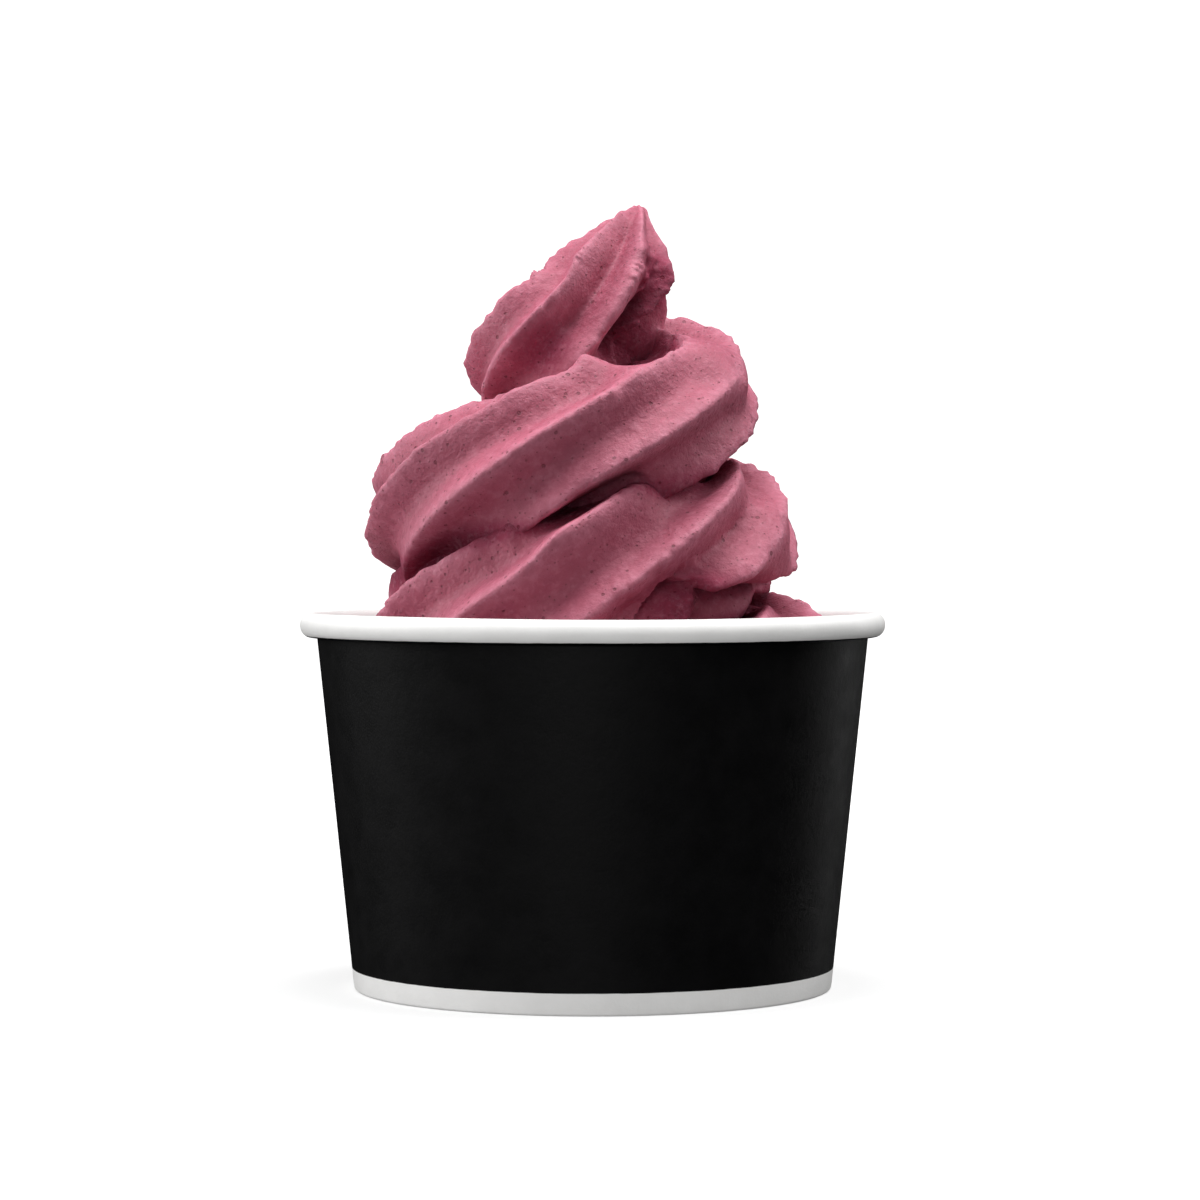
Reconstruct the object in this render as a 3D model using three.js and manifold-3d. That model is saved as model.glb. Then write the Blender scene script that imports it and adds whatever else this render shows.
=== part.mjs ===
// A paper cup of acai soft serve: a tapered paper cup with a rolled rim, its recessed base disc, and a
// tall swirl of soft serve that one fluted rope winds up into a leaning peak.
// Millimetres, +Z up. The origin is on the cup's axis, on the surface that the cup stands on.

import * as THREE from 'three';
import { mergeVertices } from 'three/addons/utils/BufferGeometryUtils.js';
import Module from 'manifold-3d';

// Paper cup
const CUP_HEIGHT = 61.8;
const FOOT_RADIUS = 39.3;
const SHOULDER_RADIUS = 45.2;
const PAPER = 0.6;
const RIM_RADIUS = 48;
const RIM_ROLL_WIDTH = 3.5;
const RIM_ROLL_HEIGHT = 4;
const RIM_ROLL_STEPS = 10;
const HEM_WIDTH = 2.4;
const HEM_HEIGHT = 5;
const CUP_SIDES = 64;

// Gap between touching pieces, and the size of the slivers cleared away where lengths of rope are joined
const CLEARANCE = 0.3;
const JOIN_TOLERANCE = 0.05;

// Filling below the swirl
const FILL_EDGE_HEIGHT = 37;
const FILL_CROWN_HEIGHT = 43;
const FILL_EDGE_ROUND = 3;

// Plain middle that the rope is wound on, as [radius, height] from the filling up to the peak
const CORE = [[19, 30], [19, 78], [15, 88], [9.5, 98], [7, 111], [2, 117]];
const CORE_SIDES = 36;

// Star section of the rope, from the nozzle
const FLUTES = 7;
const FLUTE_DEPTH = 0.27;
const CREST_ROUNDING = 0.12;
const STAR_TURN = 0.5;
const POINTS_PER_FLUTE = 5;
const TIGHTEST_BEND = 0.85;

// The rope's course. A turn is counted from the left-hand side, and the rope winds anticlockwise seen from
// above, so whole turns are at -X and half turns at +X. The coil is the centre line's distance from the
// axis, the rope is its radius over the crests, and the twist in radians rolls its crests round it.
const RINGS_PER_TURN = 28;
const COURSE = [
  { turn: -2.5, coil: 27, height: 28, rope: 13, twist: 1.4 },
  { turn: -2, coil: 27.5, height: 34, rope: 13, twist: 1.35 },
  { turn: -1.5, coil: 29.5, height: 51, rope: 13, twist: 1.25 },
  { turn: -1, coil: 23, height: 59, rope: 13.5, twist: 1.1 },
  { turn: -0.75, coil: 21.5, height: 65.5, rope: 14.8, twist: 0.86 },
  { turn: -0.625, coil: 20.5, height: 71, rope: 15, twist: 0.76 },
  { turn: -0.5, coil: 20.6, height: 74, rope: 13.7, twist: 0.52 },
  { turn: 0, coil: 24, height: 78, rope: 14, twist: 0.27 },
  { turn: 0.3, coil: 19, height: 90.5, rope: 13, twist: 0.22 },
  { turn: 0.5, coil: 15.5, height: 97.7, rope: 11.7, twist: 0.53 },
  { turn: 1, coil: 9, height: 102.7, rope: 12, twist: 0.76 },
  { turn: 1.25, coil: 5.5, height: 109.5, rope: 12.3, twist: 0.94 },
  { turn: 1.42, coil: 4.5, height: 117.3, rope: 10.5, twist: 0.98 },
  { turn: 1.54, coil: 6.5, height: 124.5, rope: 4.5, twist: 1 },
  { turn: 1.6, coil: 9, height: 128.5, rope: 1.4, twist: 1 },
];

const wasm = await Module();
wasm.setup();

// Outer radius of the straight tapered wall at a height
function wallRadius(height) {
  const shoulderHeight = CUP_HEIGHT - RIM_ROLL_HEIGHT;
  return FOOT_RADIUS + (SHOULDER_RADIUS - FOOT_RADIUS) * height / shoulderHeight;
}

function innerRadius(height) {
  return wallRadius(height) - PAPER;
}

// A solid of revolution about Z from [radius, height] points
function revolve(profile, sides) {
  const points = profile.map(([radius, height]) => new THREE.Vector2(radius, height));
  const geometry = new THREE.LatheGeometry(points, sides);
  geometry.rotateX(Math.PI / 2);
  return geometry;
}

// The tapered wall in section: hem, outer face, oval rolled rim and inner face
function cupWallGeometry() {
  const rollRadius = RIM_RADIUS - RIM_ROLL_WIDTH / 2;
  const rollHeight = CUP_HEIGHT - RIM_ROLL_HEIGHT / 2;
  const rollStart = -Math.acos((SHOULDER_RADIUS - rollRadius) / (RIM_ROLL_WIDTH / 2));
  const rollEnd = Math.PI;
  const profile = [[FOOT_RADIUS - HEM_WIDTH, 0], [FOOT_RADIUS, 0]];
  for (let step = 0; step <= RIM_ROLL_STEPS; step++) {
    const angle = rollStart + (rollEnd - rollStart) * step / RIM_ROLL_STEPS;
    profile.push([
      rollRadius + Math.cos(angle) * RIM_ROLL_WIDTH / 2,
      rollHeight + Math.sin(angle) * RIM_ROLL_HEIGHT / 2,
    ]);
  }
  profile.push([innerRadius(CUP_HEIGHT - RIM_ROLL_HEIGHT), CUP_HEIGHT - RIM_ROLL_HEIGHT]);
  profile.push([innerRadius(HEM_HEIGHT), HEM_HEIGHT]);
  profile.push([wallRadius(HEM_HEIGHT) - HEM_WIDTH, HEM_HEIGHT]);
  profile.push(profile[0]);
  return revolve(profile, CUP_SIDES);
}

// A flat disc that sits on the hem
function cupBaseGeometry() {
  const bottom = HEM_HEIGHT + CLEARANCE;
  const top = bottom + PAPER;
  return revolve([
    [0, bottom],
    [innerRadius(bottom) - CLEARANCE, bottom],
    [innerRadius(top) - CLEARANCE, top],
    [0, top],
  ], CUP_SIDES);
}

// The filling that the lowest coil sinks into, just clear of the wall and the base
function fillingGeometry() {
  const bottom = HEM_HEIGHT + PAPER + 2 * CLEARANCE;
  const shoulder = FILL_EDGE_HEIGHT - FILL_EDGE_ROUND;
  return revolve([
    [0, bottom],
    [innerRadius(bottom) - CLEARANCE, bottom],
    [innerRadius(shoulder) - CLEARANCE, shoulder],
    [innerRadius(FILL_EDGE_HEIGHT) - FILL_EDGE_ROUND, FILL_EDGE_HEIGHT],
    [0, FILL_CROWN_HEIGHT],
  ], CUP_SIDES);
}

function coreGeometry() {
  const bottom = CORE[0];
  const top = CORE[CORE.length - 1];
  return revolve([[0, bottom[1]], ...CORE, [0, top[1]]], CORE_SIDES);
}

// Slope of one quantity at a station of the course, from the parabola through it and its neighbours
function slopeAt(index, quantity) {
  const before = COURSE[Math.max(index - 1, 0)];
  const here = COURSE[index];
  const after = COURSE[Math.min(index + 1, COURSE.length - 1)];
  if (before === here || after === here) {
    return (after[quantity] - before[quantity]) / (after.turn - before.turn);
  }
  const stepIn = here.turn - before.turn;
  const stepOut = after.turn - here.turn;
  const slopeIn = (here[quantity] - before[quantity]) / stepIn;
  const slopeOut = (after[quantity] - here[quantity]) / stepOut;
  return (slopeIn * stepOut + slopeOut * stepIn) / (stepIn + stepOut);
}

// One quantity of the course at any turn, on a smooth cubic between two stations
function along(turn, quantity) {
  let index = 0;
  while (index < COURSE.length - 2 && turn > COURSE[index + 1].turn) {
    index += 1;
  }
  const from = COURSE[index];
  const to = COURSE[index + 1];
  const span = to.turn - from.turn;
  const u = (turn - from.turn) / span;
  const rise = u * u * (3 - 2 * u);
  return from[quantity] * (1 - rise) + to[quantity] * rise
    + slopeAt(index, quantity) * span * u * (1 - u) * (1 - u)
    - slopeAt(index + 1, quantity) * span * u * u * (1 - u);
}

// Centre line of the rope: a helix whose radius and height follow the course
function ropeCentre(turn) {
  const angle = Math.PI + 2 * Math.PI * turn;
  const coil = along(turn, 'coil');
  return new THREE.Vector3(coil * Math.cos(angle), coil * Math.sin(angle), along(turn, 'height'));
}

// Share of the rope's radius at an angle from a crest: sharp crests with wide round valleys between them
function starShare(angle) {
  const wave = Math.sin(FLUTES * angle / 2);
  const valley = Math.sqrt(wave * wave + CREST_ROUNDING * CREST_ROUNDING) - CREST_ROUNDING;
  const deepest = Math.sqrt(1 + CREST_ROUNDING * CREST_ROUNDING) - CREST_ROUNDING;
  return 1 - FLUTE_DEPTH * valley / deepest;
}

// One ring of the rope. The star doesn't spin as the rope is laid down, so its level section is tipped the
// shortest way until it stands square to the rope. In a tight coil its hidden inner side is pressed flat
// before it reaches the middle of the bend.
function ropeRing(turn) {
  const step = 0.001;
  const centre = ropeCentre(turn);
  const ahead = ropeCentre(turn + step).sub(ropeCentre(turn - step)).normalize();
  const tip = new THREE.Quaternion().setFromUnitVectors(new THREE.Vector3(0, 0, 1), ahead);
  const inward = new THREE.Vector3(-centre.x, -centre.y, 0).normalize();
  const bendRadius = along(turn, 'coil') / (1 - ahead.z * ahead.z);
  const count = FLUTES * POINTS_PER_FLUTE;
  const ring = [];
  for (let i = 0; i < count; i++) {
    const fromCrest = 2 * Math.PI * i / count;
    const angle = fromCrest + STAR_TURN + along(turn, 'twist');
    const radius = along(turn, 'rope') * starShare(fromCrest);
    const point = new THREE.Vector3(radius * Math.cos(angle), radius * Math.sin(angle), 0);
    point.applyQuaternion(tip);
    const excess = point.dot(inward) - TIGHTEST_BEND * bendRadius;
    point.addScaledVector(inward, -Math.max(excess, 0));
    ring.push(point.add(centre));
  }
  return ring;
}

// A capped length of the rope from one turn to another
function ropeLength(startTurn, endTurn) {
  const rings = Math.max(2, Math.round((endTurn - startTurn) * RINGS_PER_TURN));
  const count = FLUTES * POINTS_PER_FLUTE;
  const points = [];
  for (let i = 0; i <= rings; i++) {
    points.push(...ropeRing(startTurn + (endTurn - startTurn) * i / rings));
  }
  const faces = [];
  for (let i = 0; i < rings; i++) {
    for (let j = 0; j < count; j++) {
      const a = i * count + j;
      const b = i * count + (j + 1) % count;
      faces.push(a, b, b + count, a, b + count, a + count);
    }
  }
  const startCentre = points.push(ropeCentre(startTurn)) - 1;
  const endCentre = points.push(ropeCentre(endTurn)) - 1;
  for (let j = 0; j < count; j++) {
    const next = (j + 1) % count;
    faces.push(startCentre, next, j);
    faces.push(endCentre, rings * count + j, rings * count + next);
  }
  const geometry = new THREE.BufferGeometry().setFromPoints(points);
  geometry.setIndex(faces);
  return geometry;
}

// A closed geometry as a solid that can be joined
function solidOf(geometry) {
  const bare = geometry.clone();
  bare.deleteAttribute('normal');
  bare.deleteAttribute('uv');
  const merged = mergeVertices(bare);
  const index = merged.index.array;
  const faces = [];
  for (let i = 0; i < index.length; i += 3) {
    const [a, b, c] = [index[i], index[i + 1], index[i + 2]];
    if (a !== b && b !== c && c !== a) {
      faces.push(a, b, c);
    }
  }
  return new wasm.Manifold(new wasm.Mesh({
    numProp: 3,
    vertProperties: new Float32Array(merged.attributes.position.array),
    triVerts: new Uint32Array(faces),
  }));
}

function geometryOf(solid) {
  const mesh = solid.getMesh();
  const geometry = new THREE.BufferGeometry();
  geometry.setAttribute('position', new THREE.BufferAttribute(mesh.vertProperties, 3));
  geometry.setIndex(new THREE.BufferAttribute(mesh.triVerts, 1));
  geometry.computeVertexNormals();
  return geometry;
}

// The largest shell of a solid, which leaves out the small hollows that its coils close off
function outerShell(solid) {
  const shells = solid.decompose();
  return shells.reduce((largest, shell) => (shell.volume() > largest.volume() ? shell : largest));
}

// The whole of the soft serve as one solid: the filling, the core and the rope in half-turn lengths
function softServeGeometry() {
  let solid = solidOf(fillingGeometry()).add(solidOf(coreGeometry()));
  const last = COURSE[COURSE.length - 1].turn;
  for (let start = COURSE[0].turn; start < last; start += 0.5) {
    solid = solid.add(solidOf(ropeLength(start, Math.min(start + 0.5, last))));
  }
  return geometryOf(outerShell(solid.simplify(JOIN_TOLERANCE)));
}

function part(name, geometry, color, roughness) {
  const material = new THREE.MeshStandardMaterial({ color, roughness, metalness: 0 });
  const mesh = new THREE.Mesh(geometry, material);
  mesh.name = name;
  return mesh;
}

const cup = new THREE.Group();
cup.name = 'soft_serve_cup';
cup.add(part('cup_wall', cupWallGeometry(), 0x161616, 0.55));
cup.add(part('cup_base', cupBaseGeometry(), 0xe9e7e2, 0.7));
cup.add(part('soft_serve', softServeGeometry(), 0xb0647c, 0.6));

export default cup;
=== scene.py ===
"""Looks for the cup of acai soft serve: the fluted swirl, the printed paper cup and its recessed base.

Shapes are in millimetres until mesh_object puts them into a mesh. Materials, lamps and the camera are in
metres. +Z is up, and -Y faces the camera."""
import math

import bpy
import numpy as np
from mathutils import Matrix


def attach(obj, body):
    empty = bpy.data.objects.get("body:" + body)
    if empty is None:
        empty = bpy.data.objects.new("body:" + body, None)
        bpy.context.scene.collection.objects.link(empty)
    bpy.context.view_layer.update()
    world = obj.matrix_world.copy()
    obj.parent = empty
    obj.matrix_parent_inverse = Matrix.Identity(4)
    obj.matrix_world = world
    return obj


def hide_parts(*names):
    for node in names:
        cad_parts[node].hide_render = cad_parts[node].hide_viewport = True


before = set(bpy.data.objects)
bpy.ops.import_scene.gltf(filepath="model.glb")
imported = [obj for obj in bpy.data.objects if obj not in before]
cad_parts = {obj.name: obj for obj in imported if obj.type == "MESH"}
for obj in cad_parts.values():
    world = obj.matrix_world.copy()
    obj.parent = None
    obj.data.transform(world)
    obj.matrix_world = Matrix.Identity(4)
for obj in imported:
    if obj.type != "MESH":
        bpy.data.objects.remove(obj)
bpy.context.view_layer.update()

MM = 0.001

# Paper cup
CUP_HEIGHT = 61.8
FOOT_RADIUS = 39.3
SHOULDER_RADIUS = 45.2
PAPER = 0.6
RIM_RADIUS = 48.0
RIM_ROLL_WIDTH = 3.5
RIM_ROLL_HEIGHT = 4.0
HEM_WIDTH = 2.4
HEM_HEIGHT = 5.0
CLEARANCE = 0.3
SHOULDER_HEIGHT = CUP_HEIGHT - RIM_ROLL_HEIGHT
FOOT_BAND = 3.6
TUCK_HEIGHT = 0.9
FOOT_ROUND = 0.5
HEM_ROUND = 0.3
HEM_RIDGES = (0.72, 1.3)
HEM_RIDGE_RADII = (0.12, 0.3)
WALL_SIDES = 720
SEAM_ANGLE = math.radians(98)
SEAM_STEP = 0.35
SEAM_RAMP = math.radians(16)
CRIMPS = 120
CRIMP_DEPTH = 0.16

# Heights over which the ink starts above the white foot band, and ends under the rim
INK_START = (FOOT_BAND - 0.04, FOOT_BAND + 0.04)
INK_END = (SHOULDER_HEIGHT + 0.3, SHOULDER_HEIGHT + 0.36)

# Low waves of the rim's circle, and the one of its height: their size, waves a turn, and shift
RIM_WAVES = [(0.14, 2, 0.8), (0.08, 5, 2.0)]
RIM_HEIGHT_WAVE = (0.12, 3, 1.1)

# Recessed base
BASE_DISH = 0.35
BASE_RINGS = 14
BASE_SIDES = 180

# Filling below the swirl, and the plain middle that the rope is wound on, as (radius, height)
FILL_EDGE_HEIGHT = 37.0
FILL_CROWN_HEIGHT = 43.0
FILL_EDGE_ROUND = 3.0
FILL_SIDES = 160
CORE = [
    (0, 30), (19, 30), (19, 78), (15, 88), (9.5, 97),
    (7.5, 101), (5.5, 107), (4.5, 112), (1.5, 117), (0, 117),
]
CORE_SIDES = 48

# Star section of the rope, from the nozzle
FLUTES = 7
FLUTE_DEPTH = 0.27
CREST_ROUNDING = 0.075
STAR_TURN = 0.5
TIGHTEST_BEND = 0.85

# The rope's course: turns from the left-hand side, coil radius, height, rope radius over the crests, and
# the twist in radians that rolls its crests round it
TURN, COIL, HEIGHT, ROPE, TWIST = range(5)
COURSE = np.array([
    [-2.5, 27, 28, 13, 1.4],
    [-2, 27.5, 34, 13, 1.35],
    [-1.5, 29.5, 51, 13, 1.25],
    [-1, 23, 59, 13.5, 1.1],
    [-0.75, 21.5, 65.5, 14.8, 0.86],
    [-0.625, 20.5, 71, 15, 0.76],
    [-0.5, 20.6, 74, 13.7, 0.52],
    [0, 24, 78, 14, 0.27],
    [0.3, 19, 90.5, 13, 0.22],
    [0.5, 15.5, 97.7, 11.7, 0.53],
    [1, 9, 102.7, 12, 0.76],
    [1.25, 5.5, 109.5, 12.3, 0.94],
    [1.42, 4.5, 117.3, 10.5, 0.98],
    [1.54, 6.5, 124.5, 4.5, 1],
    [1.6, 9, 128.5, 1.4, 1],
])

# The rope is made in lengths of so many turns. Those that start before SHOWN_FROM are hidden in the filling,
# and their rings are wider apart.
LENGTH_TURNS = 0.5
SHOWN_FROM = -1.5
RING_SPACING = 0.65
HIDDEN_RING_SPACING = 1.6
POINTS_PER_FLUTE = 20

# Relief of the squeezed surface, as layers of noise: height, cell and seed
CHIPS = [(0.3, 6.5, 1), (0.28, 2.4, 2), (0.24, 1.3, 3)]
CHIPS_SHIFT = 0.12
LUMPS = [(0.5, 15.0, 4), (0.2, 6.0, 5)]
STREAKS = [(0.04, 1.5, 6)]
GRAIN = [(0.06, 1.5, 7)]
TEARING = [(1.0, 3.6, 8), (0.7, 1.8, 9)]
TEARING_SHIFT = 0.3
LIP_ROUGHNESS = [(0.9, 2.2, 11)]

# How far apart in the noise the crests take their chips, the radius and the stretch of the streaks, the
# stretch of those in the colour, the widths of a crest that are chipped and that take a painted highlight,
# with painted shade beyond it in the valleys, and the share and the radius with which relief weakens on thin
# rope
CREST_SPACING = 37.0
STREAK_RADIUS = 13
STREAK_LENGTH = 14
COLOUR_STREAK_LENGTH = 12
CHIPPED_WIDTH = 0.28
PAINTED_LIGHT_WIDTH = 0.45
THIN_SHARE = 0.25
THIN_RADIUS = 8

# Torn, hollowed and raised places on the swirl: middle, reach, and the depth of tearing, or the
# millimetres by which the surface stands out
TORN = [
    ((15.0, -31.0, 65.0), 9.0, 1.5),
    ((11.5, -8.0, 114.0), 8.0, 1.5),
    ((9.0, -12.0, 106.0), 6.0, 1.1),
    ((7.3, 5.0, 127.0), 5.5, 1.1),
]
RAISED = [
    ((7.5, -13.0, 104.0), 4.6, -8.5),
    ((13.5, -2.0, 109.0), 3.0, -1.2),
    ((13.0, -2.0, 113.5), 3.0, 1.3),
    ((10.8, -9.0, 109.5), 4.0, -2.5),
    ((-0.6, -21.0, 102.5), 2.6, 1.9),
    ((4.8, -21.5, 99.5), 3.6, 2.4),
    ((-6.5, -33.0, 77.5), 3.5, 1.2),
]

# Places where the flutes run out into a smooth surface: middle, reach, and the share of their depth that
# is filled
SMOOTHED = [
    ((21.5, -12.0, 102.5), 7.5, 0.85),
    ((30.5, -13.0, 72.5), 8.0, 0.8),
]

# Torn or sheltered hollows whose colour is darkened as painted shade: middle, reach, and share
PAINTED_SHADE_SPOTS = [
    ((17.5, -29.5, 61.0), 8.5, 1.0),
    ((7.0, -6.0, 104.5), 7.5, 0.9),
    ((12.0, -5.0, 114.5), 7.5, 0.6),
    ((-8.0, -14.0, 104.5), 5.5, 0.5),
]

# Grooves and ridges on the front: their paths as (x, height), half width, the millimetres by which the
# surface stands out along them, and the turns that they are limited to
GROOVES = [
    ([(-3.5, 109.5), (5.2, 122.5)], 3.0, -2.4, (0.9, 1.6)),
    ([(2.5, 110.5), (7.6, 121.5)], 1.8, 0.8, (0.9, 1.6)),
    ([(10.5, 111.5), (5.5, 103.0)], 3.0, -5.2, (0.9, 1.6)),
    ([(-8.0, 105.5), (0.0, 117.0)], 2.2, -0.8, (0.9, 1.6)),
    ([(-6.0, 74.0), (7.0, 81.2)], 2.4, -3.6, (-0.1, 0.6)),
    ([(-11.5, 73.2), (-5.0, 73.6), (7.0, 79.3)], 2.8, 3.1, (-1.1, -0.4)),
    ([(24.0, 76.0), (6.0, 62.5)], 3.0, -2.3, (-1.1, -0.4)),
    ([(20.5, 63.2), (30.0, 65.6)], 1.8, -5.0, (-2.0, -0.4)),
]

# Torn lip low on the right of the bottom tier, as (x, height); below it the surface falls back
LIP = np.array([
    [6, 59], [9, 63.5], [12.7, 68.5], [16.6, 67.7],
    [20.8, 65], [23.6, 65.7], [30, 67.3], [36, 69],
])
LIP_TURNS = (-0.86, -0.46)
LIP_TURNS_EASE = (0.05, 0.04)
LIP_EASE_X = (4, 9)
LIP_EDGE = 1.2
LIP_DEPTH = 4.0
LIP_FADE = 9
LOWER_TURN_RISE = 2.8
LOWER_TURN_RISE_AT = -1.63
LOWER_TURN_RISE_SPREAD = 0.09

# Where one turn of the rope counts as close to the next, in rope radii from its middle, and how deep a
# hollow has to be, for the shade that is painted into the cream's colour there
CLOSE_REACH = (0.95, 1.25)
CLOSE_HOLLOW = (2.5, 6)

# Round floor that bends up into a wall
FLOOR_REACH = 1800
FLOOR_BEND = 900
FLOOR_WALL = 3500
FLOOR_SIDES = 96
FLOOR_RINGS = 12
FLOOR_BEND_RINGS = 20

# Camera, in metres and radians; its focal length is in pixels of the photograph
FOCAL_PIXELS = 3831.2
PHOTO_PIXELS = 1200
SENSOR = 36
CAMERA_PLACE = (0.0012, -0.6314, 0.0762)
CAMERA_TILT = 0.0196

# Lamps, in metres and watts: name, place, target, size and power
SWIRL_MIDDLE = (0, 0, 0.09)
CUP_MIDDLE = (0, 0, 0.04)
LAMPS = [
    ("overhead", (0.03, -0.1, 1.6), SWIRL_MIDDLE, (1.2, 0.75), 28.5),
    ("front", (-0.45, -1.0, 0.2), SWIRL_MIDDLE, (1.0, 0.3), 1.8),
    ("left", (-0.9, 0.08, 0.3), SWIRL_MIDDLE, (0.5, 0.5), 5.4),
    ("right", (0.78, 0.12, 0.68), SWIRL_MIDDLE, (0.5, 0.5), 4.0),
]
CUP_LAMPS = [
    ("low_front", (-0.08, -0.85, 0.1), CUP_MIDDLE, (0.5, 0.3), 2.3),
    ("low_right", (0.75, 0.62, 0.06), CUP_MIDDLE, (0.16, 0.4), 0.7),
]
WORLD_STRENGTH = 0.23


# ---------------------------------------------------------------- shared shapes

def smooth_noise(points, cell, seed):
    """Random values on a cubic lattice of one cell's spacing, blended between its corners by 3u^2 - 2u^3."""
    size = 64
    lattice = np.random.default_rng(seed).uniform(-1, 1, (size, size, size)).astype(np.float32)
    q = np.asarray(points, np.float64) / cell
    base = np.floor(q).astype(np.int64)
    u = (q - base).astype(np.float32)
    u = u * u * (3 - 2 * u)
    low, high = base % size, (base + 1) % size
    total = np.zeros(q.shape[:-1], np.float32)
    for corner in np.ndindex(2, 2, 2):
        x, y, z = (np.where(corner[axis], high[..., axis], low[..., axis]) for axis in range(3))
        sx, sy, sz = (u[..., axis] if corner[axis] else 1 - u[..., axis] for axis in range(3))
        total += sx * sy * sz * lattice[x, y, z]
    return total


def layered_noise(points, layers):
    """The sum of each layer's height times its smooth noise."""
    return sum(height * smooth_noise(points, cell, seed) for height, cell, seed in layers)


def set_corner_values(mesh, label, values):
    """Keeps one number or one vector a corner under a label."""
    kind, field = ("FLOAT", "value") if values.ndim == 1 else ("FLOAT_VECTOR", "vector")
    mesh.attributes.new(label, kind, "CORNER").data.foreach_set(field, values.ravel())


def mesh_object(name, points, faces, point_values=None):
    """An object from points in millimetres and faces of three or four corners. Each of point_values is one
    number or vector a point, kept on the faces' corners so that a union carries it over."""
    mesh = bpy.data.meshes.new(name)
    points = np.asarray(points, np.float32).reshape(-1, 3) * MM
    faces = np.asarray(faces, np.int32)
    corners = faces.shape[1]
    mesh.vertices.add(len(points))
    mesh.vertices.foreach_set("co", points.ravel())
    mesh.loops.add(faces.size)
    mesh.loops.foreach_set("vertex_index", faces.ravel())
    mesh.polygons.add(len(faces))
    mesh.polygons.foreach_set("loop_start", np.arange(len(faces), dtype=np.int32) * corners)
    mesh.polygons.foreach_set("loop_total", np.full(len(faces), corners, np.int32))
    mesh.update(calc_edges=True)
    for label, values in (point_values or {}).items():
        set_corner_values(mesh, label, np.asarray(values, np.float32)[faces.ravel()])
    made = bpy.data.objects.new(name, mesh)
    bpy.context.scene.collection.objects.link(made)
    return made


def grid_faces(rows, columns, close_rows=False):
    """Four-cornered faces of a grid that always closes round its columns, and round its rows if asked."""
    row = np.arange(rows if close_rows else rows - 1)[:, None]
    column = np.arange(columns)[None, :]
    following = (column + 1) % columns
    above = (row + 1) % rows
    quad = [row * columns + column, row * columns + following,
            above * columns + following, above * columns + column]
    return np.stack(np.broadcast_arrays(*quad), -1).reshape(-1, 4)


def capped_faces(rings, count):
    """Triangles of a closed grid of rings, with a fan at either end. The fans' middles are the two points
    after the grid, the first ring's and then the last ring's."""
    quads = grid_faces(rings, count)
    around = np.arange(count)
    following = (around + 1) % count
    last = (rings - 1) * count
    start_cap = np.stack([np.full(count, rings * count), following, around], -1)
    end_cap = np.stack([np.full(count, rings * count + 1), last + around, last + following], -1)
    return np.concatenate([quads[:, [0, 1, 2]], quads[:, [0, 2, 3]], start_cap, end_cap])


def smooth_faces(piece):
    """Shades every face of a piece smoothly."""
    mesh = piece.data
    mesh.polygons.foreach_set("use_smooth", np.ones(len(mesh.polygons), bool))
    mesh.update()


# ---------------------------------------------------------------- soft serve

def along(turns, column):
    """One quantity of the course at any turn: a cubic between stations, its slope at each station being that
    of the parabola through it and its two neighbours."""
    at, value = COURSE[:, TURN], COURSE[:, column]
    slope = np.gradient(value, at)
    i = np.clip(np.searchsorted(at, turns, side="right") - 1, 0, len(at) - 2)
    span = at[i + 1] - at[i]
    u = (turns - at[i]) / span
    rise = u * u * (3 - 2 * u)
    return (value[i] * (1 - rise) + value[i + 1] * rise
            + slope[i] * span * u * (1 - u) ** 2 - slope[i + 1] * span * u * u * (1 - u))


def rope_centre(turns):
    """A helix about Z whose radius and height follow the course."""
    angle = np.pi + 2 * np.pi * turns
    coil = along(turns, COIL)
    return np.stack([coil * np.cos(angle), coil * np.sin(angle), along(turns, HEIGHT)], -1)


def outer_travel():
    """Distance travelled by the rope's outer side since the course's start, at many even turns: the sum of
    sqrt((2 pi (coil + rope))^2 + rise^2) for each small step."""
    turns = np.linspace(COURSE[0, TURN], COURSE[-1, TURN], 8001)
    reach = 2 * np.pi * (along(turns, COIL) + along(turns, ROPE)) * np.gradient(turns)
    rise = np.gradient(along(turns, HEIGHT))
    return turns, np.cumsum(np.hypot(reach, rise))


def star_share(angle):
    """Share of the rope's radius at an angle from a crest: 1 - depth * valley, where valley is
    sqrt(sin^2(flutes * angle / 2) + e^2) - e, scaled to reach 1 midway between crests."""
    wave = np.sin(FLUTES * angle / 2)
    valley = np.sqrt(wave ** 2 + CREST_ROUNDING ** 2) - CREST_ROUNDING
    return 1 - FLUTE_DEPTH * valley / (np.sqrt(1 + CREST_ROUNDING ** 2) - CREST_ROUNDING)


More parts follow.
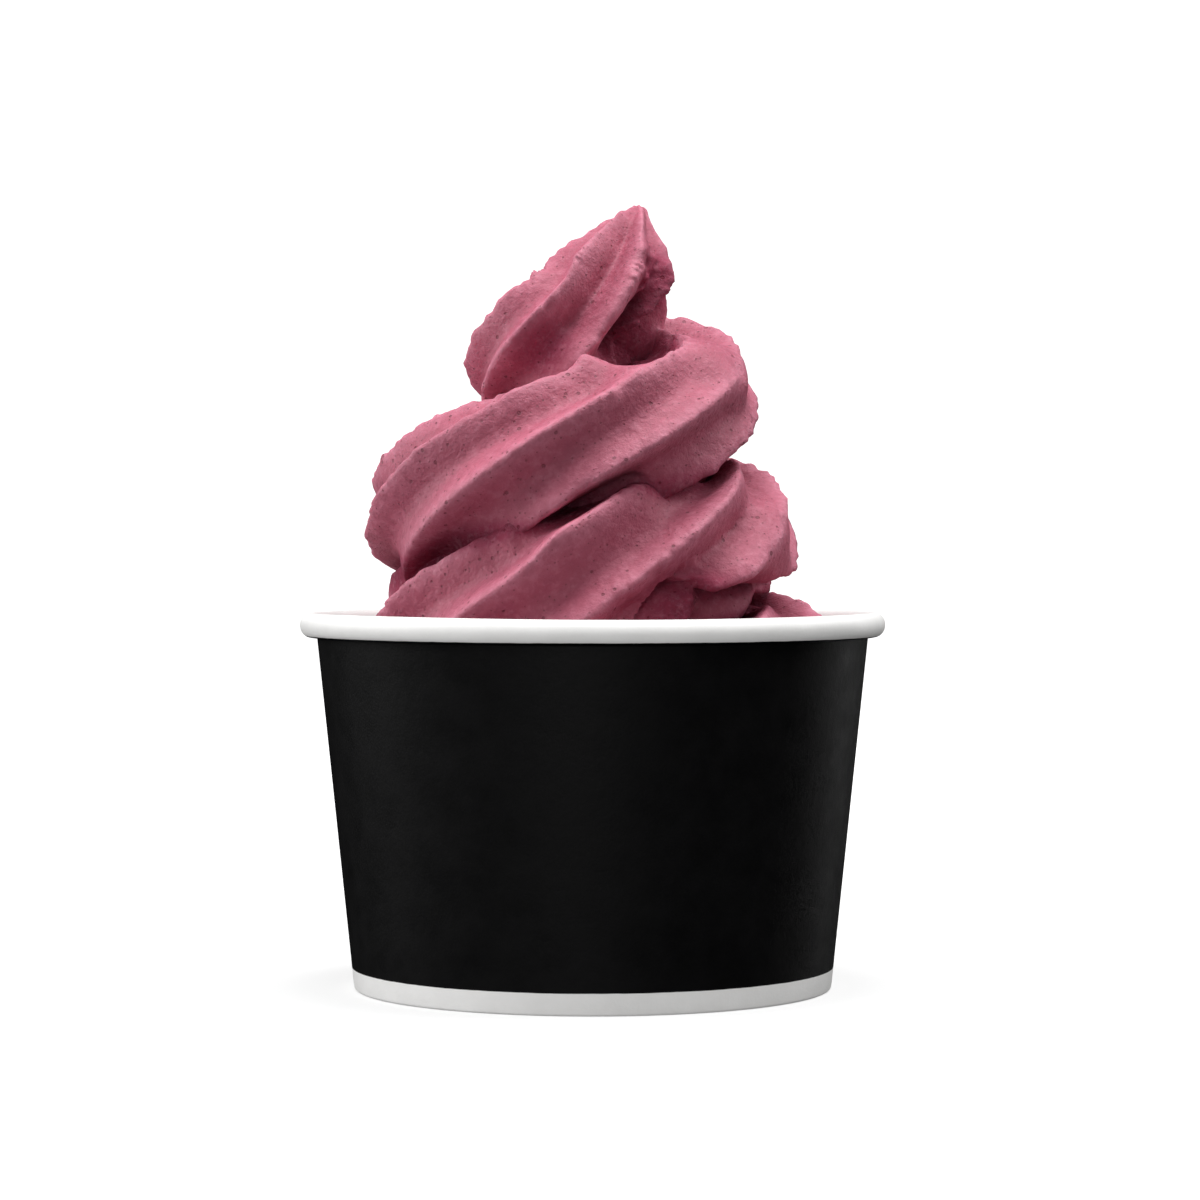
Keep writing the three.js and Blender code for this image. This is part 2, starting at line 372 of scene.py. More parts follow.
def rope_rings(turns, relief):
    """The star section carried along the helix. Its level section is tipped the shortest way from +Z to the
    rope's direction, and its inner side is pressed flat short of the middle of a tight bend. The relief is
    added to its radius."""
    step = 0.001
    centre = rope_centre(turns)
    ahead = rope_centre(turns + step) - rope_centre(turns - step)
    ahead /= np.linalg.norm(ahead, axis=-1, keepdims=True)
    swing = np.cross([0.0, 0.0, 1.0], ahead)
    cosine = ahead[:, 2:]

    def tipped(level):
        level = np.broadcast_to(level, ahead.shape)
        return (level * cosine + np.cross(swing, level)
                + swing * (swing * level).sum(-1, keepdims=True) / (1 + cosine))

    from_crest = crest_angles()
    angle = from_crest[None, :] + STAR_TURN + along(turns, TWIST)[:, None]
    radius = along(turns, ROPE)[:, None] * star_share(from_crest)[None, :] + relief
    offset = (radius * np.cos(angle))[..., None] * tipped([1.0, 0.0, 0.0])[:, None]
    offset += (radius * np.sin(angle))[..., None] * tipped([0.0, 1.0, 0.0])[:, None]
    inward = centre * [-1.0, -1.0, 0.0]
    inward /= np.linalg.norm(inward, axis=-1, keepdims=True)
    bend = along(turns, COIL) / (1 - ahead[:, 2] ** 2)
    excess = (offset * inward[:, None]).sum(-1) - TIGHTEST_BEND * bend[:, None]
    offset -= np.maximum(excess, 0)[..., None] * inward[:, None]
    return centre, centre[:, None] + offset


def crest_angles():
    """Angles round the rope's section, counted from a crest."""
    return 2 * np.pi * np.arange(FLUTES * POINTS_PER_FLUTE) / (FLUTES * POINTS_PER_FLUTE)


def crest_nearness(width):
    """1 on a crest, falling off as exp(-(sin(flutes * angle / 2) / width)^2)."""
    return np.exp(-(np.sin(FLUTES * crest_angles() / 2) / width) ** 2)


def smooth_step(values, low, high):
    """0 up to low and 1 from high, by 3u^2 - 2u^3 between."""
    u = np.clip((values - low) / (high - low), 0, 1)
    return u * u * (3 - 2 * u)


def spot(points, middle, reach, power):
    """1 at the middle, falling off as exp(-(distance / reach)^power)."""
    return np.exp(-(np.linalg.norm(points - middle, axis=-1) / reach) ** power)


def torn_lip(turns, points):
    """Millimetres by which the bottom tier falls back below its torn lip, as exp(-drop / fade) from there
    down, and by which the turn under it rises to meet it, as a bell curve of its turns."""
    below = np.interp(points[..., 0], LIP[:, 0], LIP[:, 1]) - points[..., 2]
    below = below + layered_noise(points, LIP_ROUGHNESS)
    (first, last), (ease_in, ease_out) = LIP_TURNS, LIP_TURNS_EASE
    started = smooth_step(turns, first, first + ease_in)
    ended = smooth_step(turns, last - ease_out, last)
    of_tier = (started * (1 - ended))[:, None]
    fallen = smooth_step(below, 0, LIP_EDGE) * np.exp(-np.maximum(below, 0) / LIP_FADE)
    fallen = fallen * smooth_step(points[..., 0], *LIP_EASE_X)
    upper_side = np.clip((points[..., 2] - along(turns, HEIGHT)[:, None]) / COURSE[0, ROPE], 0, 1)
    risen = np.exp(-((turns - LOWER_TURN_RISE_AT) / LOWER_TURN_RISE_SPREAD) ** 2)[:, None] * upper_side
    return LOWER_TURN_RISE * risen - LIP_DEPTH * of_tier * fallen


def from_path(points, path):
    """Distance from a path of straight lines, both seen from the front."""
    nearest = np.inf
    for start, end in zip(path, path[1:]):
        flat = points[..., [0, 2]] - start
        line = np.subtract(end, start)
        share = np.clip(flat @ line / (line @ line), 0, 1)
        nearest = np.minimum(nearest, np.linalg.norm(flat - share[..., None] * line, axis=-1))
    return nearest


def rope_relief(turns, travel):
    """Millimetres by which the squeezed surface stands out from the plain star: the sum of slow lumps,
    chipped and serrated crests, streaks drawn out along the rope, grain, torn or hollowed places, and
    grooves on the front. All of it weakens where the rope is thin."""
    _, plain = rope_rings(turns, 0.0)
    nearness = crest_nearness(CHIPPED_WIDTH)[None, :]
    flute = np.round(crest_angles() * FLUTES / (2 * np.pi))[None, :] % FLUTES
    distance = np.broadcast_to(travel[:, None], plain.shape[:2])
    on_crest = np.stack([distance, flute * CREST_SPACING + 0 * distance, 0 * distance], -1)
    chips = layered_noise(on_crest, CHIPS) - CHIPS_SHIFT
    angle = crest_angles()[None, :] + 0 * distance
    drawn = np.stack([STREAK_RADIUS * np.cos(angle), STREAK_RADIUS * np.sin(angle),
                      distance / STREAK_LENGTH], -1)
    relief = (chips * nearness + layered_noise(plain, LUMPS) + layered_noise(drawn, STREAKS)
              + layered_noise(plain, GRAIN))
    tearing = TEARING_SHIFT - sum(
        height * np.abs(smooth_noise(plain, cell, seed)) for height, cell, seed in TEARING)
    for middle, reach, depth in TORN:
        relief = relief + depth * tearing * spot(plain, middle, reach, 4)
    for middle, reach, height in RAISED:
        relief = relief + height * spot(plain, middle, reach, 2)
    valleys = along(turns, ROPE)[:, None] * (1 - star_share(crest_angles()))[None, :]
    for middle, reach, share in SMOOTHED:
        relief = relief + share * valleys * spot(plain, middle, reach, 4)
    front = smooth_step(-plain[..., 1], -1, 4)
    for path, half_width, height, (first, last) in GROOVES:
        of_turns = ((turns > first) & (turns < last))[:, None]
        along_line = np.exp(-(from_path(plain, path) / half_width) ** 2)
        relief = relief + height * front * of_turns * along_line
    relief = relief + torn_lip(turns, plain)
    return relief * np.minimum(1, THIN_SHARE + along(turns, ROPE)[:, None] / THIN_RADIUS)


def painted_shade_share(turns, points, relief):
    """Share of painted shade: 1 where a ring's points touch the turn above or below. It falls to 0 as their
    distance from that turn's (coil, height), in its rope radii, passes through CLOSE_REACH. It also rises to
    1 where the relief hollows the surface by CLOSE_HOLLOW, and to its share in each listed shade spot."""
    from_axis, height = np.hypot(points[..., 0], points[..., 1]), points[..., 2]
    close = smooth_step(-relief, *CLOSE_HOLLOW)
    for middle, reach, share in PAINTED_SHADE_SPOTS:
        close = np.maximum(close, share * spot(points, middle, reach, 4))
    for other in (turns - 1, turns + 1):
        there = ((other > COURSE[0, TURN]) & (other < COURSE[-1, TURN]))[:, None]
        coil, middle, rope = (along(other, column)[:, None] for column in (COIL, HEIGHT, ROPE))
        away = np.hypot(from_axis - coil, height - middle) / np.maximum(rope, 1)
        close = np.maximum(close, there * (1 - smooth_step(away, *CLOSE_REACH)))
    return close


def rope_length(name, start, end):
    """A capped length of the rope: rings an even distance apart along its outer side, joined by triangles.
    Its corners carry the place along the drawn rope, the nearness of a crest for its painted highlight and
    valley shade, and the share of painted shade where the next turn is near or the surface is hollowed."""
    turns, travelled = outer_travel()
    spacing = RING_SPACING if start >= SHOWN_FROM - 0.01 else HIDDEN_RING_SPACING
    first, last = np.interp([start, end], turns, travelled)
    rings = max(4, math.ceil((last - first) / spacing) + 1)
    travel = np.linspace(first, last, rings)
    at = np.interp(travel, travelled, turns)
    at[0], at[-1] = start, end
    relief = rope_relief(at, travel)
    centre, ring_points = rope_rings(at, relief)
    count = ring_points.shape[1]
    points = np.concatenate([ring_points.reshape(-1, 3), centre[:1], centre[-1:]])
    angle = crest_angles()[None, :]
    rope = along(at, ROPE)[:, None]
    drawn = np.stack(np.broadcast_arrays(
        rope * np.cos(angle), rope * np.sin(angle), travel[:, None] / COLOUR_STREAK_LENGTH), -1)
    values = {
        "drawn": np.concatenate([drawn.reshape(-1, 3), np.zeros((2, 3))]),
        "crest": np.concatenate([np.tile(crest_nearness(PAINTED_LIGHT_WIDTH), rings), [0, 0]]),
        "close": np.concatenate([painted_shade_share(at, ring_points, relief).ravel(), [1, 1]]),
    }
    return mesh_object(name, points, capped_faces(rings, count), values)


def turned_solid(name, profile, sides):
    """A profile of (radius, height) points from the axis to the axis, turned about Z. Each pole is one
    point."""
    angle = 2 * np.pi * np.arange(sides) / sides
    ring = np.array(profile[1:-1], float)
    points = np.stack(np.broadcast_arrays(
        ring[:, :1] * np.cos(angle), ring[:, :1] * np.sin(angle), ring[:, 1:]), -1).reshape(-1, 3)
    points = np.concatenate([points, [[0, 0, profile[0][1]], [0, 0, profile[-1][1]]]])
    # Full painted shade under "close" on every point; only the cream's material reads it, on the core and
    # filling
    values = {"drawn": points, "crest": np.zeros(len(points)), "close": np.ones(len(points))}
    return mesh_object(name, points, capped_faces(len(ring), sides), values)


def wall_radius(height):
    """Outer radius of the straight tapered wall at a height."""
    return FOOT_RADIUS + (SHOULDER_RADIUS - FOOT_RADIUS) * height / SHOULDER_HEIGHT


def filling_profile():
    """A level bottom over the base, the wall's taper less its clearance, a cut corner, and a low cone."""
    bottom = HEM_HEIGHT + PAPER + 2 * CLEARANCE
    shoulder = FILL_EDGE_HEIGHT - FILL_EDGE_ROUND
    return [
        (0, bottom),
        (wall_radius(bottom) - PAPER - CLEARANCE, bottom),
        (wall_radius(shoulder) - PAPER - CLEARANCE, shoulder),
        (wall_radius(FILL_EDGE_HEIGHT) - PAPER - FILL_EDGE_ROUND, FILL_EDGE_HEIGHT),
        (0, FILL_CROWN_HEIGHT),
    ]


def union_mesh(base, others):
    """The mesh of the union of several closed objects, which are removed."""
    group = bpy.data.collections.new("to_join")
    for other in others:
        group.objects.link(other)
    union = base.modifiers.new("union", "BOOLEAN")
    union.operation = "UNION"
    union.solver = "MANIFOLD"
    union.operand_type = "COLLECTION"
    union.collection = group
    bpy.context.view_layer.update()
    evaluated = base.evaluated_get(bpy.context.evaluated_depsgraph_get())
    mesh = bpy.data.meshes.new_from_object(evaluated)
    for other in [*others, base]:
        bpy.data.objects.remove(other)
    bpy.data.collections.remove(group)
    return mesh


def mesh_arrays(mesh):
    """Points in millimetres, and the point numbers and corner numbers of every triangle."""
    points = np.empty(len(mesh.vertices) * 3, np.float32)
    mesh.vertices.foreach_get("co", points)
    mesh.calc_loop_triangles()
    faces, corners = np.empty((2, len(mesh.loop_triangles) * 3), np.int32)
    mesh.loop_triangles.foreach_get("vertices", faces)
    mesh.loop_triangles.foreach_get("loops", corners)
    return points.reshape(-1, 3) / MM, faces.reshape(-1, 3), corners.reshape(-1, 3)


def outer_shell_faces(points, faces):
    """Which triangles belong to the shell that holds the highest point. Each shell's points take on its
    lowest point number, which is passed along the triangles until nothing changes."""
    label = np.arange(len(points))
    while True:
        before = label.copy()
        np.minimum.at(label, faces.ravel(), np.repeat(label[faces].min(1), 3))
        label = label[label]
        if np.array_equal(before, label):
            return label[faces[:, 0]] == label[np.argmax(points[:, 2])]


def values_at(mesh, label, corners):
    """The number or vector under a label at each of the given corners."""
    layer = mesh.attributes[label]
    width, field = (1, "value") if layer.data_type == "FLOAT" else (3, "vector")
    values = np.empty(len(mesh.loops) * width, np.float32)
    layer.data.foreach_get(field, values)
    return values.reshape(-1, width)[corners.ravel()].squeeze()


def make_soft_serve():
    """Half-turn lengths of rope, the core and the filling as one body, without the hollows they close
    off."""
    last = COURSE[-1, TURN]
    starts = np.arange(COURSE[0, TURN], last, LENGTH_TURNS)
    lengths = [rope_length(f"rope_{i}", start, min(start + LENGTH_TURNS, last))
               for i, start in enumerate(starts)]
    core = turned_solid("core", CORE, CORE_SIDES)
    filling = turned_solid("filling", filling_profile(), FILL_SIDES)
    mesh = union_mesh(filling, [core, *lengths])
    points, faces, corners = mesh_arrays(mesh)
    kept = outer_shell_faces(points, faces)
    carried = {label: values_at(mesh, label, corners[kept]) for label in ("drawn", "crest", "close")}
    used, renumbered = np.unique(faces[kept], return_inverse=True)
    bpy.data.meshes.remove(mesh)
    made = mesh_object("acai_soft_serve", points[used], renumbered.reshape(-1, 3))
    for label, values in carried.items():
        set_corner_values(made.data, label, values)
    smooth_faces(made)
    return made


# ---------------------------------------------------------------- paper cup

def arc(centre, radii, start, end, steps):
    """Points of an oval's arc between two angles in degrees."""
    angle = np.radians(np.linspace(start, end, steps))
    return np.stack([centre[0] + radii[0] * np.cos(angle), centre[1] + radii[1] * np.sin(angle)], -1)


def stretch(start, end, steps):
    """Even points of a straight line, with its end left out."""
    share = np.arange(steps)[:, None] / steps
    return np.array(start, float) * (1 - share) + np.array(end, float) * share


def wall_section():
    """The wall's closed section as (radius, height) in three parts: from the foot's outer edge up the
    outside and round the rolled rim, then down the inside, then round the folded hem."""
    shoulder = (wall_radius(SHOULDER_HEIGHT), SHOULDER_HEIGHT)
    tuck_end = (wall_radius(SHOULDER_HEIGHT + TUCK_HEIGHT) + 0.05, SHOULDER_HEIGHT + TUCK_HEIGHT)
    roll_middle = (RIM_RADIUS - RIM_ROLL_WIDTH / 2, CUP_HEIGHT - RIM_ROLL_HEIGHT / 2)
    roll_radii = np.array([RIM_ROLL_WIDTH / 2, RIM_ROLL_HEIGHT / 2])
    outside = np.concatenate([
        arc((FOOT_RADIUS - FOOT_ROUND, FOOT_ROUND), (FOOT_ROUND, FOOT_ROUND), -90, 0, 6),
        stretch((FOOT_RADIUS + 0.1, 1.0), shoulder, 34),
        stretch(shoulder, tuck_end, 3),
        arc(roll_middle, roll_radii - 0.35, -168, -120, 4),
        arc(roll_middle, roll_radii, -112, 180, 34),
    ])
    hem_top = wall_radius(HEM_HEIGHT)
    inside = np.concatenate([
        stretch((shoulder[0] - PAPER, SHOULDER_HEIGHT), (hem_top - PAPER, HEM_HEIGHT + 0.35), 16),
        stretch((hem_top - PAPER, HEM_HEIGHT), (hem_top - HEM_WIDTH, HEM_HEIGHT), 3),
    ])
    hem_inner = FOOT_RADIUS - HEM_WIDTH
    hem = np.concatenate([
        stretch((hem_top - HEM_WIDTH, HEM_HEIGHT), (hem_inner, HEM_ROUND), 9),
        arc((hem_inner + HEM_ROUND, HEM_ROUND), (HEM_ROUND, HEM_ROUND), 180, 270, 4),
        *(arc((hem_inner + place, 0.05), HEM_RIDGE_RADII, 180, 0, 5) for place in HEM_RIDGES),
    ])
    return outside, inside, hem


def make_cup_wall():
    """The section carried round the axis. The sheet's overlap raises the outside as a ramp that ends in a
    step at the seam, the hem is crimped by a cosine, and the rim's circle and height wander by low
    cosine waves that grow with height."""
    outside, inside, hem = wall_section()
    section = np.concatenate([outside, inside, hem])
    on_outside = np.concatenate([np.ones(len(outside)), np.zeros(len(inside) + len(hem))])
    on_hem = np.concatenate([np.zeros(len(outside) + len(inside)), np.ones(len(hem))])
    angle = np.unique(np.concatenate([
        np.linspace(0, 2 * np.pi, WALL_SIDES, endpoint=False),
        SEAM_ANGLE + np.radians([-0.02, 0.0, 0.06, 0.12]),
    ]))
    radius, height = section[:, :1], section[:, 1:]
    before_seam = (SEAM_ANGLE - angle) % (2 * np.pi)
    overlap = np.clip(1 - before_seam / SEAM_RAMP, 0, 1)[None, :]
    lifted = SEAM_STEP * overlap * on_outside[:, None] * np.clip(height / 2 + 0.3, 0, 1)
    crimped = CRIMP_DEPTH * np.cos(CRIMPS * angle)[None, :] * on_hem[:, None]
    crimped = crimped * np.clip((4.6 - height) / 1.5, 0, 1) * np.clip(height / 0.6, 0, 1)
    up = height / CUP_HEIGHT
    wander = sum(size * up * np.cos(waves * angle + shift) for size, waves, shift in RIM_WAVES)
    around = radius + lifted + crimped + wander
    size, waves, shift = RIM_HEIGHT_WAVE
    raised = height + size * up ** 4 * np.cos(waves * angle + shift) + 0 * around
    points = np.stack([around * np.cos(angle), around * np.sin(angle), raised], -1)
    faces = grid_faces(len(section), len(angle), close_rows=True)
    made = mesh_object("paper_cup_wall", points, faces)
    smooth_faces(made)
    return made


def make_cup_base():
    """A turned disc of paper with a round edge, that sinks by dish (1 - share^2)^2 at a share of its
    radius."""
    inner = wall_radius(HEM_HEIGHT) - PAPER - CLEARANCE
    bottom, top = HEM_HEIGHT + CLEARANCE, HEM_HEIGHT + CLEARANCE + PAPER
    share = np.linspace(0, 1, BASE_RINGS)[1:]
    sunk = BASE_DISH * (1 - share ** 2) ** 2
    under = np.stack([share * (inner - 1.6), bottom - sunk], -1)
    over = np.stack([share * (inner - PAPER), top - sunk], -1)[::-1]
    edge = arc((inner - PAPER / 2, (bottom + top) / 2), (PAPER / 2, PAPER / 2), -90, 90, 6)
    profile = [(0, bottom - BASE_DISH), *under, *edge, *over, (0, top - BASE_DISH)]
    made = turned_solid("paper_cup_base", profile, BASE_SIDES)
    smooth_faces(made)
    return made


# ---------------------------------------------------------------- materials

class Nodes:
    """A short way to write a material's nodes."""

    def __init__(self, name):
        self.material = bpy.data.materials.new(name)
        self.material.use_nodes = True
        self.tree = self.material.node_tree
        self.shader = self.tree.nodes["Principled BSDF"]
        self.place = self.tree.nodes.new("ShaderNodeTexCoord").outputs["Object"]

    def link(self, value, socket):
        """Links an output to a socket, or sets a constant on it."""
        if isinstance(value, bpy.types.NodeSocket):
            self.tree.links.new(value, socket)
        else:
            socket.default_value = value

    def math(self, operation, *values):
        """One sum, product or comparison of its values."""
        node = self.tree.nodes.new("ShaderNodeMath")
        node.operation = operation
        for value, socket in zip(values, node.inputs):
            self.link(value, socket)
        return node.outputs[0]

    def noise(self, cell, detail=2.0, roughness=0.5, vector=None):
        """Blended noise whose largest grains are one cell wide, in the vector's units."""
        node = self.tree.nodes.new("ShaderNodeTexNoise")
        self.link(self.place if vector is None else vector, node.inputs["Vector"])
        self.link(1 / cell, node.inputs["Scale"])
        self.link(detail, node.inputs["Detail"])
        self.link(roughness, node.inputs["Roughness"])
        return node.outputs["Fac"]

    def dots(self, cell, radius, seed_shift=(0, 0, 0)):
        """1 inside small balls scattered one to a cell, each of its own size, and 0 outside them."""
        mapping = self.tree.nodes.new("ShaderNodeMapping")
        self.link(self.place, mapping.inputs["Vector"])
        mapping.inputs["Location"].default_value = seed_shift
        node = self.tree.nodes.new("ShaderNodeTexVoronoi")
        self.link(mapping.outputs["Vector"], node.inputs["Vector"])
        self.link(1 / cell, node.inputs["Scale"])
        chance = self.tree.nodes.new("ShaderNodeSeparateColor")
        self.link(node.outputs["Color"], chance.inputs["Color"])
        size = self.math("MULTIPLY", chance.outputs["Red"], radius / cell)
        return self.ramp(self.math("SUBTRACT", size, node.outputs["Distance"]), -0.02, 0.03)

    def ramp(self, value, low, high, to_low=0.0, to_high=1.0):
        """A straight ramp that holds its end values outside low and high."""
        node = self.tree.nodes.new("ShaderNodeMapRange")
        for item, socket in zip((value, low, high, to_low, to_high), node.inputs):
            self.link(item, socket)
        return node.outputs[0]

    def mix(self, share, first, second):
        """The first colour at a share of 0, and the second at 1."""
        node = self.tree.nodes.new("ShaderNodeMix")
        node.data_type = "RGBA"
        self.link(share, node.inputs[0])
        self.link(first, node.inputs[6])
        self.link(second, node.inputs[7])
        return node.outputs[2]

    def attribute(self, label, output="Fac"):
        """What the mesh keeps under a label."""
        node = self.tree.nodes.new("ShaderNodeAttribute")
        node.attribute_name = label
        return node.outputs[output]

    def bump(self, height, depth, normal=None):
        """Tilts the surface as if height stood out by depth metres."""
        node = self.tree.nodes.new("ShaderNodeBump")
        node.inputs["Distance"].default_value = depth
        self.link(height, node.inputs["Height"])
        if normal is not None:
            self.link(normal, node.inputs["Normal"])
        return node.outputs["Normal"]

    def set(self, **inputs):
        """Gives the shader's inputs, named with _ for a space."""
        for label, value in inputs.items():
            self.link(value, self.shader.inputs[label.replace("_", " ")])


def soft_serve_material():
    """Dense frozen fruit cream: matte, a little translucent, paler on the crests as a painted highlight
    (partly also for their thin edges), with painted shade between them, where turns touch and in hollows,
    finely mottled, with sparse dark specks of fruit skin in tiny pits."""
    n = Nodes("acai_cream")
    streak = n.noise(1.1, 3.0, 0.55, n.attribute("drawn", "Vector"))
    cloud = n.noise(0.012, 2.0)
    mottle = n.noise(0.0016, 3.0, 0.65)
    grain = n.noise(0.0006, 3.0, 0.65)
    specks = n.dots(0.0019, 0.00037)
    fine_specks = n.dots(0.0009, 0.0002, (0.013, 0.007, 0.021))
    # crest drives a painted highlight and valley shade; close is the share of painted shade at contacts and
    # hollows
    crest = n.attribute("crest")
    close = n.attribute("close")
    cream = n.mix(n.ramp(cloud, 0.35, 0.65), (0.475, 0.09, 0.156, 1), (0.53, 0.112, 0.184, 1))
    tints = [
        # Painted shade in the valleys between the crests, and a painted highlight along the crests
        (n.ramp(crest, 0.0, 0.45, 0.34, 0.0), (0.30, 0.048, 0.09, 1)),
        (n.math("MULTIPLY", crest, 0.38), (0.66, 0.27, 0.365, 1)),
        # Painted shade where turns touch, in deep hollows and in the listed sheltered spots
        (n.math("MULTIPLY", close, 0.86), (0.12, 0.012, 0.03, 1)),
        (n.ramp(mottle, 0.36, 0.6, 0.32, 0.0), (0.32, 0.045, 0.085, 1)),
        (n.ramp(mottle, 0.52, 0.7, 0.0, 0.22), (0.66, 0.25, 0.33, 1)),
        (n.ramp(grain, 0.5, 0.75, 0.0, 0.14), (0.66, 0.3, 0.4, 1)),
        (n.ramp(streak, 0.35, 0.7, 0.0, 0.08), (0.34, 0.065, 0.115, 1)),
        (n.math("MULTIPLY", specks, 0.62), (0.16, 0.014, 0.03, 1)),
        (n.math("MULTIPLY", fine_specks, 0.55), (0.2, 0.03, 0.05, 1)),
    ]
    for share, tint in tints:
        cream = n.mix(share, cream, tint)
    normal = n.bump(n.math("ADD", specks, fine_specks), -0.00015)
    for height, depth in ((streak, 0.00008), (mottle, 0.0003), (grain, 0.00013)):
        normal = n.bump(height, depth, normal)
    n.set(Base_Color=cream, Normal=normal, Roughness=n.ramp(grain, 0.3, 0.7, 0.58, 0.76))
    # Less reflection where shade is painted
    n.set(Specular_IOR_Level=n.ramp(close, 0.0, 0.5, 0.75, 0.05))
    n.set(Subsurface_Weight=0.13, Subsurface_Scale=0.0012)
    n.shader.inputs["Subsurface Radius"].default_value = (1.0, 0.3, 0.4)
    return n.material


def coated_board(n, dull, bright):
    """Board clouded between two tones, with the faint relief of its fibres: the clouding's noise, the
    colour, and the normal."""
    fibre = n.noise(0.0004, 4.0, 0.6)
    mottle = n.noise(0.006, 3.0, 0.6)
    colour = n.mix(n.ramp(mottle, 0.3, 0.7), dull, bright)
    return mottle, colour, n.bump(fibre, 0.00003, n.bump(mottle, 0.0001))


def printed_paper_material():
    """White board, printed matte black on the outside from just above the foot to the rim's underside."""
    n = Nodes("printed_cup_paper")
    split = n.tree.nodes.new("ShaderNodeSeparateXYZ")
    n.link(n.place, split.inputs[0])
    x, y, z = split.outputs
    radius = n.math("SQRT", n.math("ADD", n.math("MULTIPLY", x, x), n.math("MULTIPLY", y, y)))
    slope = (SHOULDER_RADIUS - FOOT_RADIUS) / SHOULDER_HEIGHT
    middle = n.math("ADD", n.math("MULTIPLY", z, slope), (FOOT_RADIUS - PAPER / 2 - 0.1) * MM)
    outside = n.math("GREATER_THAN", radius, middle)
    edge_wobble = n.math("MULTIPLY", n.math("SUBTRACT", n.noise(0.0025, 3.0), 0.5), 0.00012)
    height = n.math("ADD", z, edge_wobble)
    above = n.ramp(height, INK_START[0] * MM, INK_START[1] * MM)
    below = n.ramp(height, INK_END[0] * MM, INK_END[1] * MM, 1.0, 0.0)
    ink = n.math("MULTIPLY", n.math("MULTIPLY", above, below), outside)
    mottle, white, normal = coated_board(n, (0.80, 0.795, 0.785, 1), (0.85, 0.845, 0.835, 1))
    black = n.mix(n.ramp(mottle, 0.3, 0.7), (0.0025, 0.0025, 0.0027, 1), (0.004, 0.0039, 0.0042, 1))
    n.set(Base_Color=n.mix(ink, white, black), Normal=normal)
    n.set(Roughness=n.ramp(ink, 0.0, 1.0, 0.5, n.ramp(mottle, 0.3, 0.7, 0.46, 0.56)))
    n.set(Specular_IOR_Level=n.ramp(ink, 0.0, 1.0, 0.4, 0.08))
    return n.material


def base_paper_material():
    """Plain white coated board."""
    n = Nodes("base_paper")
    _, white, normal = coated_board(n, (0.78, 0.775, 0.76, 1), (0.83, 0.825, 0.81, 1))
    n.set(Base_Color=white, Roughness=0.55, Normal=normal)
    return n.material


# ---------------------------------------------------------------- stage

def aimed(place, target):
    """Rotation that turns -Z of a lamp from its place to a target."""
    x, y, z = np.array(target, float) - np.array(place, float)
    return (math.atan2(math.hypot(x, y), -z), 0.0, math.atan2(-x, y))


def soft_light(name, place, target, size, power):
    """A rectangular lamp turned to its target."""
    light = bpy.data.lights.new(name, "AREA")
    light.shape = "RECTANGLE"
    light.size, light.size_y = size
    light.energy = power
    lamp = bpy.data.objects.new(name, light)
    lamp.location = place
    lamp.rotation_euler = aimed(place, target)
    bpy.context.scene.collection.objects.link(lamp)
    return lamp


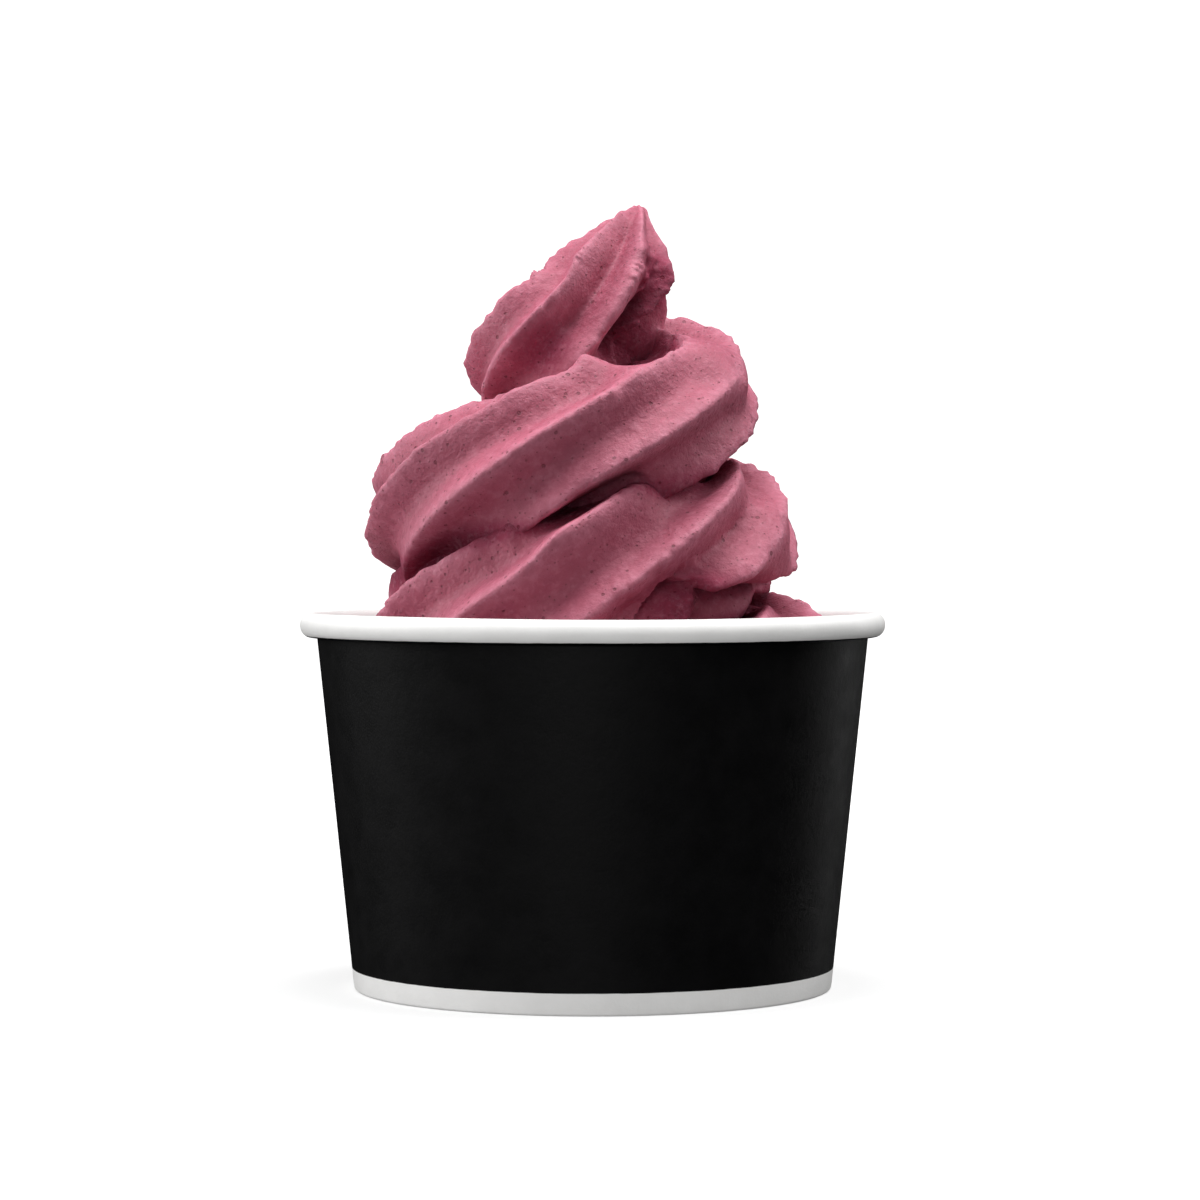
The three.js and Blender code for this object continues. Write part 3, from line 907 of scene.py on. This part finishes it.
def make_stage():
    """A level round floor that bends up into a wall all the way round, by a quarter circle: a profile of
    (radius, height) turned about Z. It glows a little, more so away from the cup, and throws no light
    back."""
    level = np.linspace(0, FLOOR_REACH, FLOOR_RINGS)[1:]
    angle = np.linspace(0, np.pi / 2, FLOOR_BEND_RINGS)[1:]
    bend = FLOOR_REACH + FLOOR_BEND * np.sin(angle)
    radius = np.concatenate([level, bend, bend[-1:]])
    height = np.concatenate([0 * level, FLOOR_BEND * (1 - np.cos(angle)), [FLOOR_WALL]])
    side = np.arange(FLOOR_SIDES)
    around = 2 * np.pi * side / FLOOR_SIDES
    points = np.stack(np.broadcast_arrays(
        radius[:, None] * np.cos(around), radius[:, None] * np.sin(around), height[:, None]), -1)
    points = points.reshape(-1, 3)
    quads = grid_faces(len(radius), FLOOR_SIDES)
    middle = np.stack([np.full(FLOOR_SIDES, len(points)), side, (side + 1) % FLOOR_SIDES], -1)
    faces = np.concatenate([middle, quads[:, [0, 2, 1]], quads[:, [0, 3, 2]]])
    floor = mesh_object("floor", np.concatenate([points, [[0, 0, 0]]]), faces)
    smooth_faces(floor)
    n = Nodes("pale_floor")
    from_cup = n.tree.nodes.new("ShaderNodeVectorMath")
    from_cup.operation = "LENGTH"
    n.link(n.place, from_cup.inputs[0])
    n.set(Base_Color=(0.42, 0.42, 0.42, 1), Roughness=0.9, Specular_IOR_Level=0.0)
    glow = n.ramp(from_cup.outputs["Value"], 0.1, 0.6, 0.6, 1.0)
    n.set(Emission_Color=(1, 1, 1, 1), Emission_Strength=glow)
    floor.data.materials.append(n.material)
    floor.visible_diffuse = False
    floor.visible_glossy = False


def make_camera():
    """Stands at the photographed distance, height and tilt."""
    camera = bpy.data.cameras.new("camera")
    camera.sensor_width = SENSOR
    camera.lens = FOCAL_PIXELS / PHOTO_PIXELS * SENSOR
    camera.clip_start = 0.01
    camera.clip_end = 20
    eye = bpy.data.objects.new("camera", camera)
    eye.location = CAMERA_PLACE
    eye.rotation_euler = (math.pi / 2 - CAMERA_TILT, 0, 0)
    bpy.context.scene.collection.objects.link(eye)
    bpy.context.scene.camera = eye


def light_stage(cup_pieces):
    """A wide soft light overhead, one at either side a little behind, a weak one in front, two low ones
    that light the cup alone, and an even glow all round."""
    for lamp in LAMPS:
        soft_light(*lamp)
    cup_only = bpy.data.collections.new("lit_by_low_lights")
    for piece in cup_pieces:
        cup_only.objects.link(piece)
    for lamp in CUP_LAMPS:
        soft_light(*lamp).light_linking.receiver_collection = cup_only
    world = bpy.data.worlds.new("world")
    world.use_nodes = True
    background = world.node_tree.nodes["Background"]
    background.inputs["Color"].default_value = (1, 1, 1, 1)
    background.inputs["Strength"].default_value = WORLD_STRENGTH
    world.cycles_visibility.glossy = False
    bpy.context.scene.world = world
    bpy.context.scene.view_settings.view_transform = "Standard"


# ---------------------------------------------------------------- pieces on the frame

def dress(piece, material, node):
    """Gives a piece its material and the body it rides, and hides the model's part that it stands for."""
    piece.data.materials.append(material)
    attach(piece, "root")
    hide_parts(node)


soft_serve, wall, base = make_soft_serve(), make_cup_wall(), make_cup_base()
dress(soft_serve, soft_serve_material(), "soft_serve")
dress(wall, printed_paper_material(), "cup_wall")
dress(base, base_paper_material(), "cup_base")
make_stage()
make_camera()
light_stage([wall, base])
